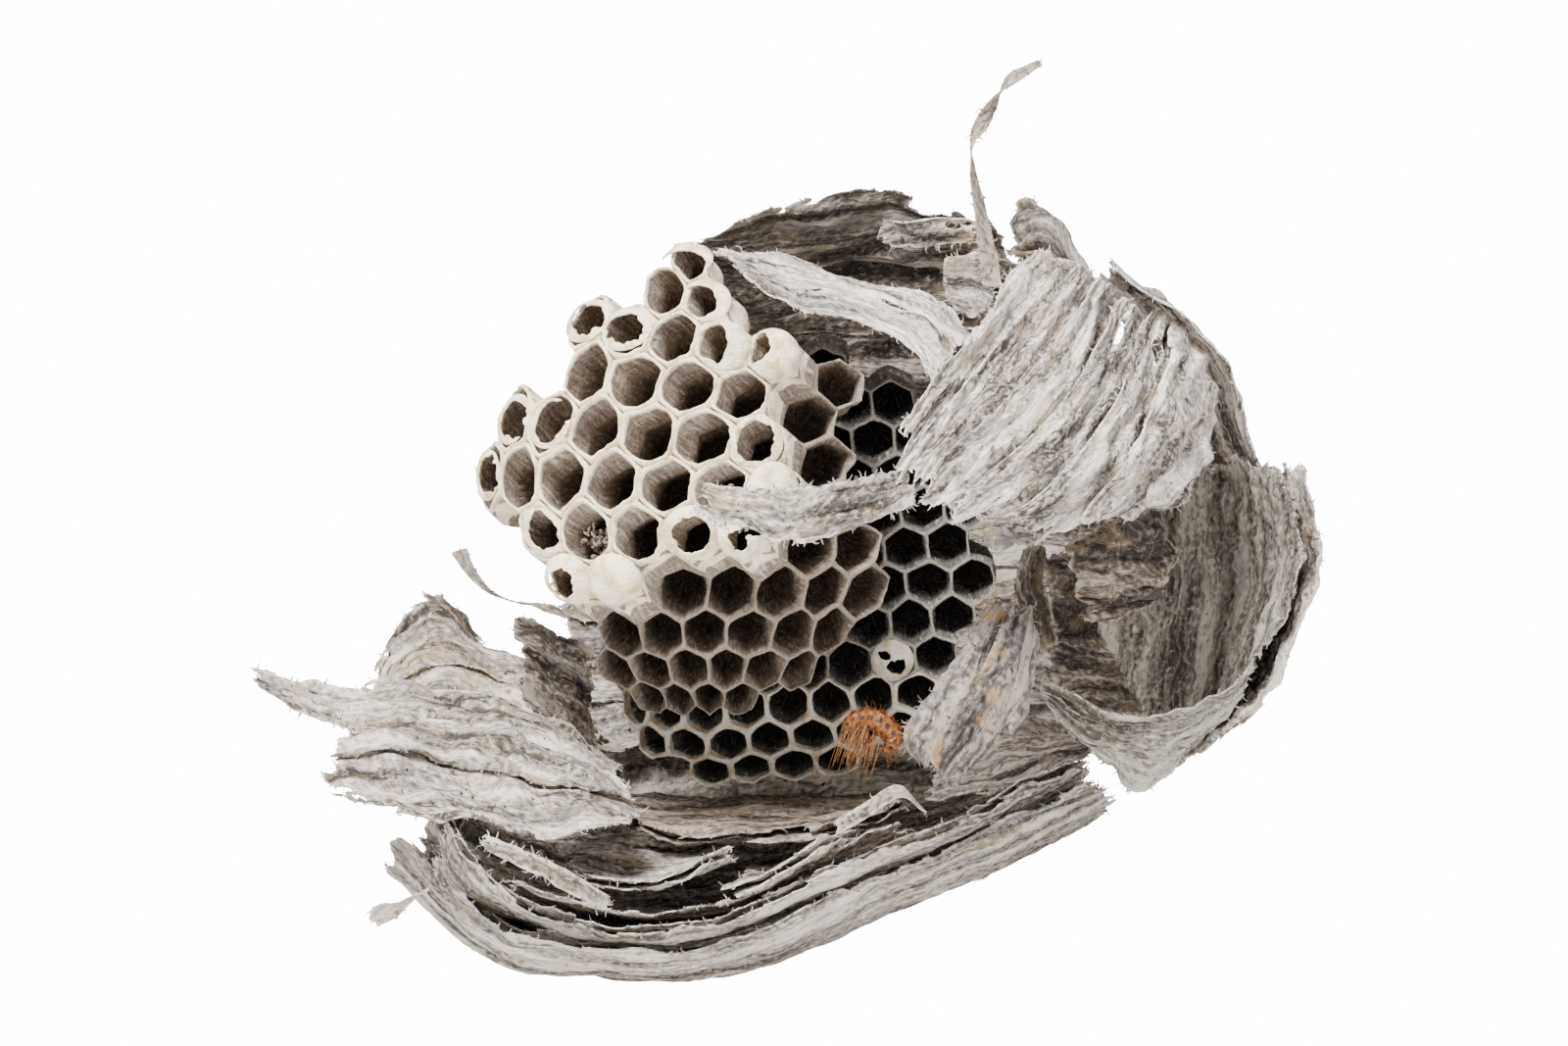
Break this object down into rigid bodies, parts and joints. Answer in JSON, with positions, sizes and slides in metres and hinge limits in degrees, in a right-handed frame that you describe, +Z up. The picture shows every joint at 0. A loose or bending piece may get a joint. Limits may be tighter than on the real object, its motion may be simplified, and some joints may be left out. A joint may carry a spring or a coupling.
{
  "type": "paper wasp nest",
  "caption": "Torn remains of an aerial paper wasp nest: stacked combs of hexagonal cells, some capped with silk, among ragged layered sheets of grey paper envelope.",
  "frame": {"origin": "middle of the flat on the underside of the outermost bottom sheet, where the nest rests on a level surface", "axes": "+X to the right along the longest side, seen from the open mouths of the combs; -Y towards that viewer; +Z up"},
  "size_m": [0.1286, 0.0925, 0.1008],
  "materials": {
    "grey_paper": "dry grey wasp paper, chewed wood fibre in fine streaks, matte",
    "brown_paper": "dry brown wasp paper, rough and matte",
    "comb_paper": "thin grey-brown comb paper with pale silk rims, matte",
    "silk": "matted cream silk",
    "cast_skin": "thin amber insect skin, slightly shiny"
  },
  "bodies": {
    "root": {"back_left": "grey_paper", "back_right": "grey_paper", "back_roof": "grey_paper", "bridge_sheet": "grey_paper", "cast_skin": "cast_skin", "comb_front": "comb_paper", "comb_post_left": "brown_paper", "comb_post_lower": "brown_paper", "comb_post_right": "brown_paper", "comb_rear": "comb_paper", "comb_stalk": "brown_paper", "crest_crumple": "grey_paper", "crest_ribbon": "brown_paper", "cup_skin": "grey_paper", "cup_wall": "grey_paper", "curtain": "brown_paper", "floor_sheet": "grey_paper", "front_scroll": "grey_paper", "hull_inner": "grey_paper", "hull_middle": "grey_paper", "hull_outer": "grey_paper", "inner_fold": "grey_paper", "leaf_flap": "grey_paper", "ledge_left": "grey_paper", "ledge_right": "grey_paper", "ledge_upper": "brown_paper", "left_curl": "brown_paper", "left_flap": "grey_paper", "left_inner_fold": "brown_paper", "left_scrap": "brown_paper", "left_tongue": "grey_paper", "left_wall": "brown_paper", "narrow_strip": "grey_paper", "partition": "brown_paper", "pocket_fold": "grey_paper", "right_band": "grey_paper", "right_wing": "grey_paper", "roof_patch": "grey_paper", "side_strip": "brown_paper", "silk_cap_1": "silk", "silk_cap_2": "silk", "silk_cap_3": "silk", "silk_cap_4": "silk", "silk_cap_5": "silk", "silk_cap_rear": "silk", "wing_tongue": "grey_paper"}
  },
  "joints": []
}
